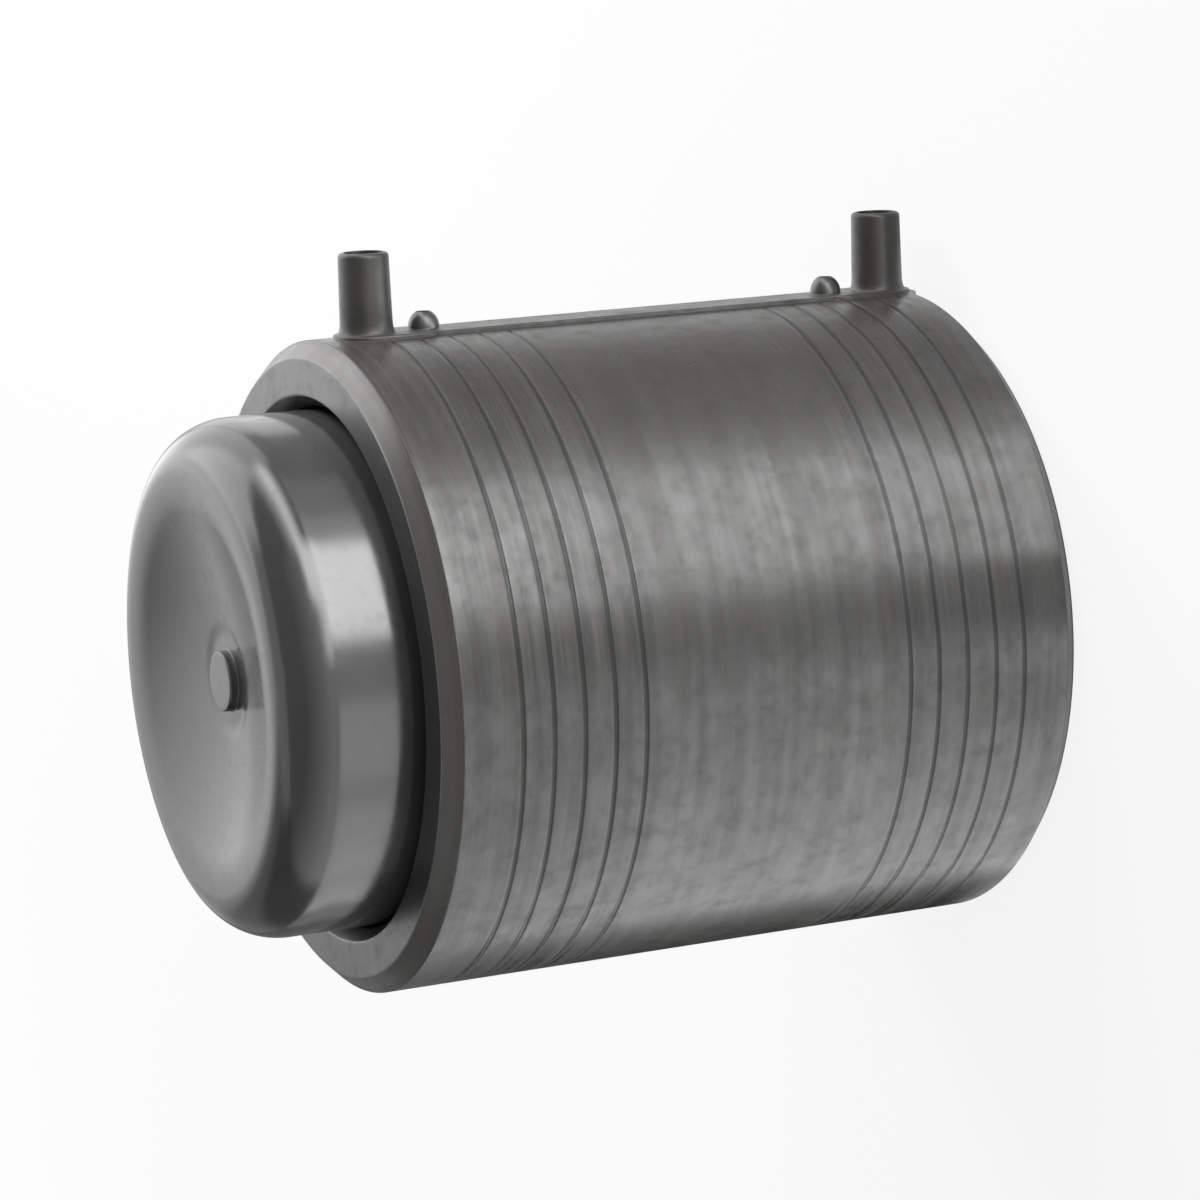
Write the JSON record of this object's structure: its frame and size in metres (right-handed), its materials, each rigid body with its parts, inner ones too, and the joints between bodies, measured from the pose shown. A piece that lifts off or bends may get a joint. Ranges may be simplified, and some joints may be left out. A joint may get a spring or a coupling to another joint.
{
  "type": "electrofusion end cap",
  "caption": "Electrofusion coupler for polyethylene pipe, closed by a spigot end cap: ring-grooved sleeve, shrouded contact pins, fusion indicators and a wire-wound bore.",
  "frame": {"origin": "centre of the open end face, on the axis of the pipe socket", "axes": "+Z along the axis to the closed end, +X towards the two terminals"},
  "size_m": [0.1783, 0.158, 0.1963],
  "materials": {
    "turned_pe": "satin, with fine marks running round the sleeve",
    "moulded_pe": "semi-gloss, as moulded",
    "resistance_wire": "drawn copper alloy wire",
    "pin_brass": "turned brass",
    "indicator_pe": "gloss, as moulded"
  },
  "bodies": {
    "fitting": {"coupler_body": "turned_pe", "end_cap": "moulded_pe", "heating_wire": "resistance_wire", "terminal_pin_pipe_side": "pin_brass", "terminal_pin_cap_side": "pin_brass"},
    "indicator_pipe_side": {"indicator_pin_pipe_side": "indicator_pe"},
    "indicator_cap_side": {"indicator_pin_cap_side": "indicator_pe"}
  },
  "joints": [
    {"name": "indicator_rise_pipe_side", "type": "slide", "parent": "fitting", "child": "indicator_pipe_side", "axis": [1, 0, 0], "range_m": [0, 0.003]},
    {"name": "indicator_rise_cap_side", "type": "slide", "parent": "fitting", "child": "indicator_cap_side", "axis": [1, 0, 0], "range_m": [0, 0.003]}
  ]
}
